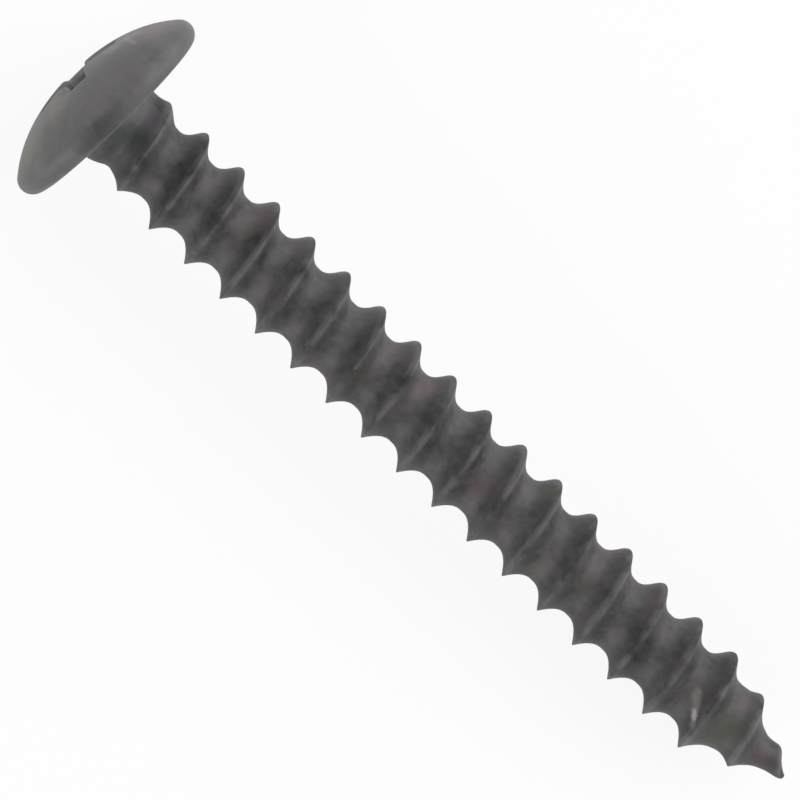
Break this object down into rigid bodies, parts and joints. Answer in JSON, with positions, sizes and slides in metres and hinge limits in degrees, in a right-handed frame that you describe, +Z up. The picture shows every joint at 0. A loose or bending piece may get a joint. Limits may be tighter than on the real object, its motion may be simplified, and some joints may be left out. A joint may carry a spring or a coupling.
{
  "type": "cross-recessed sheet metal screw",
  "caption": "Dark steel self-tapping screw with a low domed head, cross recess, coarse right-hand thread and gimlet point, lying on its side.",
  "frame": {"origin": "middle of the bounding box's floor, on the surface that the screw lies on", "axes": "+X from the head to the point along the floor, +Z up; the screw's own axis slopes down to the point by 4.4 degrees"},
  "size_m": [0.0428, 0.01, 0.01],
  "materials": {
    "black_phosphate_steel": "satin"
  },
  "bodies": {
    "root": {"screw": "black_phosphate_steel"}
  },
  "joints": []
}
